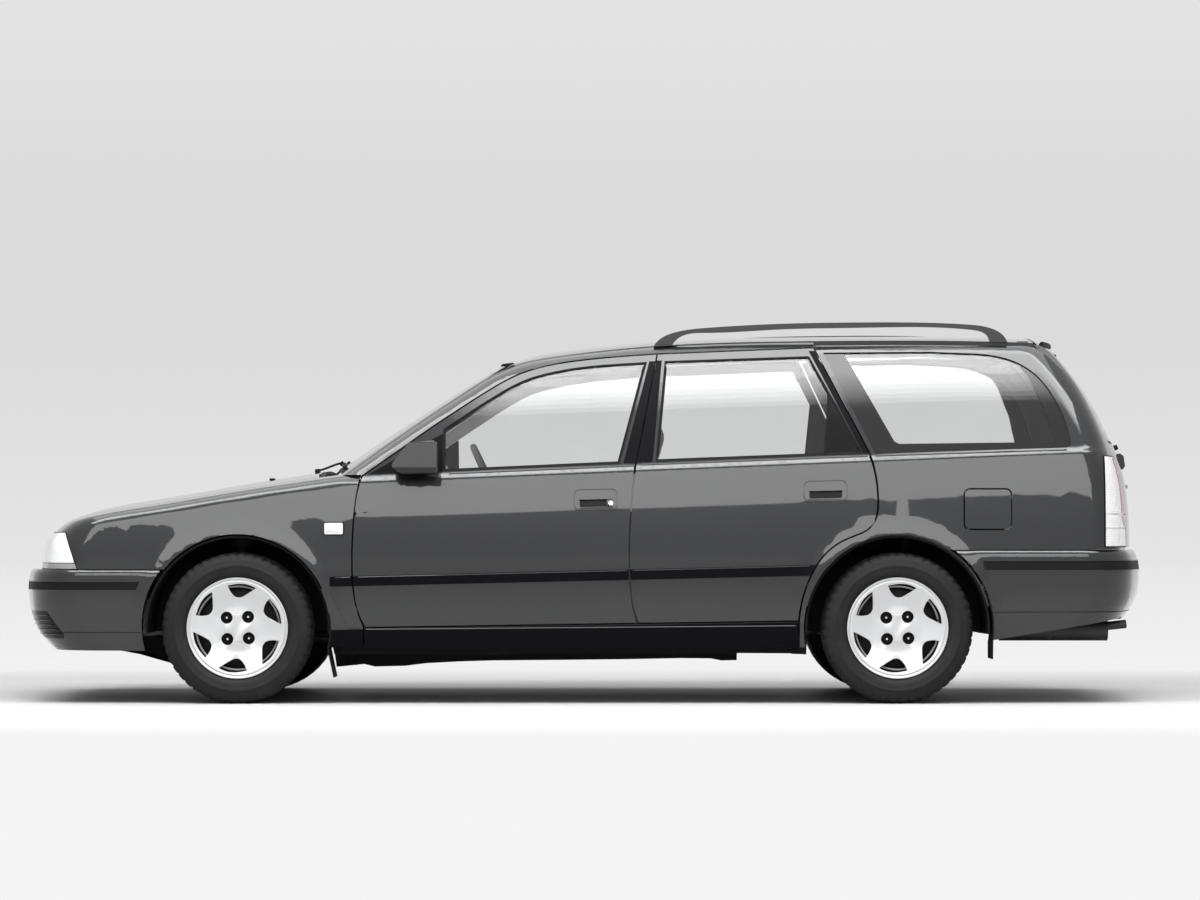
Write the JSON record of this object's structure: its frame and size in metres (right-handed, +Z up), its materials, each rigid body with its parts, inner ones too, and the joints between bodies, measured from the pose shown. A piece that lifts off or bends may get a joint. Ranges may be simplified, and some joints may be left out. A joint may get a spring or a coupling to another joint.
{
  "type": "station wagon",
  "caption": "Mid-size estate car with opening side doors, bonnet, tailgate and fuel flap, roof rails, glazed cabin with seats, and steered front wheels.",
  "frame": {"origin": "on the ground under the middle of the car's length and width", "axes": "+X towards the tail, +Y towards the car's right side, +Z up"},
  "size_m": [4.4613, 1.9676, 1.4844],
  "materials": {
    "paint": "metallic gloss",
    "glass": "lightly tinted",
    "black_trim": "moulded",
    "lamp_clear": "ribbed clear lens",
    "lamp_tail": "ribbed red lens",
    "underbody": "matt",
    "steel": "satin",
    "iron": "cast",
    "seat_cloth": "woven",
    "cabin_plastic": "grained",
    "rubber": "tread rubber",
    "wheel_paint": "silver gloss"
  },
  "bodies": {
    "body": {"floor_pan": "underbody", "body_side_left": "paint", "body_side_right": "paint", "quarter_panel_left": "paint", "quarter_panel_right": "paint", "roof_panel": "paint", "wing_left": "paint", "wing_right": "paint", "scuttle": "black_trim", "front_structure": "underbody", "engine_block": "iron", "front_bumper": "paint", "rear_bumper": "paint", "windscreen": "glass", "quarter_glass": "glass", "headlamps": "lamp_clear", "grille": "black_trim", "tail_lamps": "lamp_tail", "roof_rails": "black_trim", "mud_flaps": "black_trim", "front_suspension": "steel", "rear_suspension": "steel", "exhaust": "steel", "fuel_tank": "steel", "front_seat_left": "seat_cloth", "front_seat_right": "seat_cloth", "rear_seat": "seat_cloth", "dashboard": "cabin_plastic"},
    "bonnet": {"bonnet": "paint"},
    "tailgate": {"tailgate": "paint", "tailgate_glass": "glass"},
    "fuel_flap": {"fuel_flap": "paint"},
    "steering_wheel": {"steering_wheel": "black_trim"},
    "front_door_left": {"front_door_left": "paint", "front_door_glass_left": "glass", "mirror_left": "paint"},
    "rear_door_left": {"rear_door_left": "paint", "rear_door_glass_left": "glass"},
    "knuckle_left": {"knuckle_left": "steel"},
    "wheel_front_left": {"wheel_front_left": "wheel_paint", "tyre_front_left": "rubber"},
    "wheel_rear_left": {"wheel_rear_left": "wheel_paint", "tyre_rear_left": "rubber"},
    "front_door_right": {"front_door_right": "paint", "front_door_glass_right": "glass", "mirror_right": "paint"},
    "rear_door_right": {"rear_door_right": "paint", "rear_door_glass_right": "glass"},
    "knuckle_right": {"knuckle_right": "steel"},
    "wheel_front_right": {"wheel_front_right": "wheel_paint", "tyre_front_right": "rubber"},
    "wheel_rear_right": {"wheel_rear_right": "wheel_paint", "tyre_rear_right": "rubber"}
  },
  "joints": [
    {"name": "front_door_left_hinge", "type": "hinge", "parent": "body", "child": "front_door_left", "pos_m": [-0.828, -0.819, 0.57], "axis": [0, 0, -1], "range_deg": [0, 65]},
    {"name": "rear_door_left_hinge", "type": "hinge", "parent": "body", "child": "rear_door_left", "pos_m": [0.244, -0.825, 0.57], "axis": [0, 0, -1], "range_deg": [0, 65]},
    {"name": "knuckle_left_steer", "type": "hinge", "parent": "body", "child": "knuckle_left", "pos_m": [-1.337, -0.656, 0.292], "axis": [0, 0, 1], "range_deg": [-31, 31]},
    {"name": "wheel_front_left_spin", "type": "hinge", "parent": "knuckle_left", "child": "wheel_front_left", "pos_m": [-1.337, -0.733, 0.292], "axis": [0, 1, 0], "continuous": true},
    {"name": "wheel_rear_left_spin", "type": "hinge", "parent": "body", "child": "wheel_rear_left", "pos_m": [1.213, -0.733, 0.292], "axis": [0, 1, 0], "continuous": true},
    {"name": "front_door_right_hinge", "type": "hinge", "parent": "body", "child": "front_door_right", "pos_m": [-0.828, 0.819, 0.57], "axis": [0, 0, 1], "range_deg": [0, 65]},
    {"name": "rear_door_right_hinge", "type": "hinge", "parent": "body", "child": "rear_door_right", "pos_m": [0.244, 0.825, 0.57], "axis": [0, 0, 1], "range_deg": [0, 65]},
    {"name": "knuckle_right_steer", "type": "hinge", "parent": "body", "child": "knuckle_right", "pos_m": [-1.337, 0.656, 0.292], "axis": [0, 0, 1], "range_deg": [-31, 31]},
    {"name": "wheel_front_right_spin", "type": "hinge", "parent": "knuckle_right", "child": "wheel_front_right", "pos_m": [-1.337, 0.733, 0.292], "axis": [0, 1, 0], "continuous": true},
    {"name": "wheel_rear_right_spin", "type": "hinge", "parent": "body", "child": "wheel_rear_right", "pos_m": [1.213, 0.733, 0.292], "axis": [0, 1, 0], "continuous": true},
    {"name": "bonnet_hinge", "type": "hinge", "parent": "body", "child": "bonnet", "pos_m": [-0.972, 0, 0.876], "axis": [0, 1, 0], "range_deg": [0, 50]},
    {"name": "tailgate_hinge", "type": "hinge", "parent": "body", "child": "tailgate", "pos_m": [1.814, 0, 1.42], "axis": [0, -1, 0], "range_deg": [0, 80]},
    {"name": "fuel_flap_hinge", "type": "hinge", "parent": "body", "child": "fuel_flap", "pos_m": [1.486, -0.801, 0.752], "axis": [0, -0.0589, -0.9983], "range_deg": [0, 90]},
    {"name": "steering_wheel_turn", "type": "hinge", "parent": "body", "child": "steering_wheel", "pos_m": [-0.383, 0.37, 0.847], "axis": [0.9061, 0, 0.423], "range_deg": [-540, 540]}
  ],
  "couplings": [
    {"joint": "knuckle_left_steer", "follows": "steering_wheel_turn", "ratio": 0.0571},
    {"joint": "knuckle_right_steer", "follows": "steering_wheel_turn", "ratio": 0.0571}
  ]
}
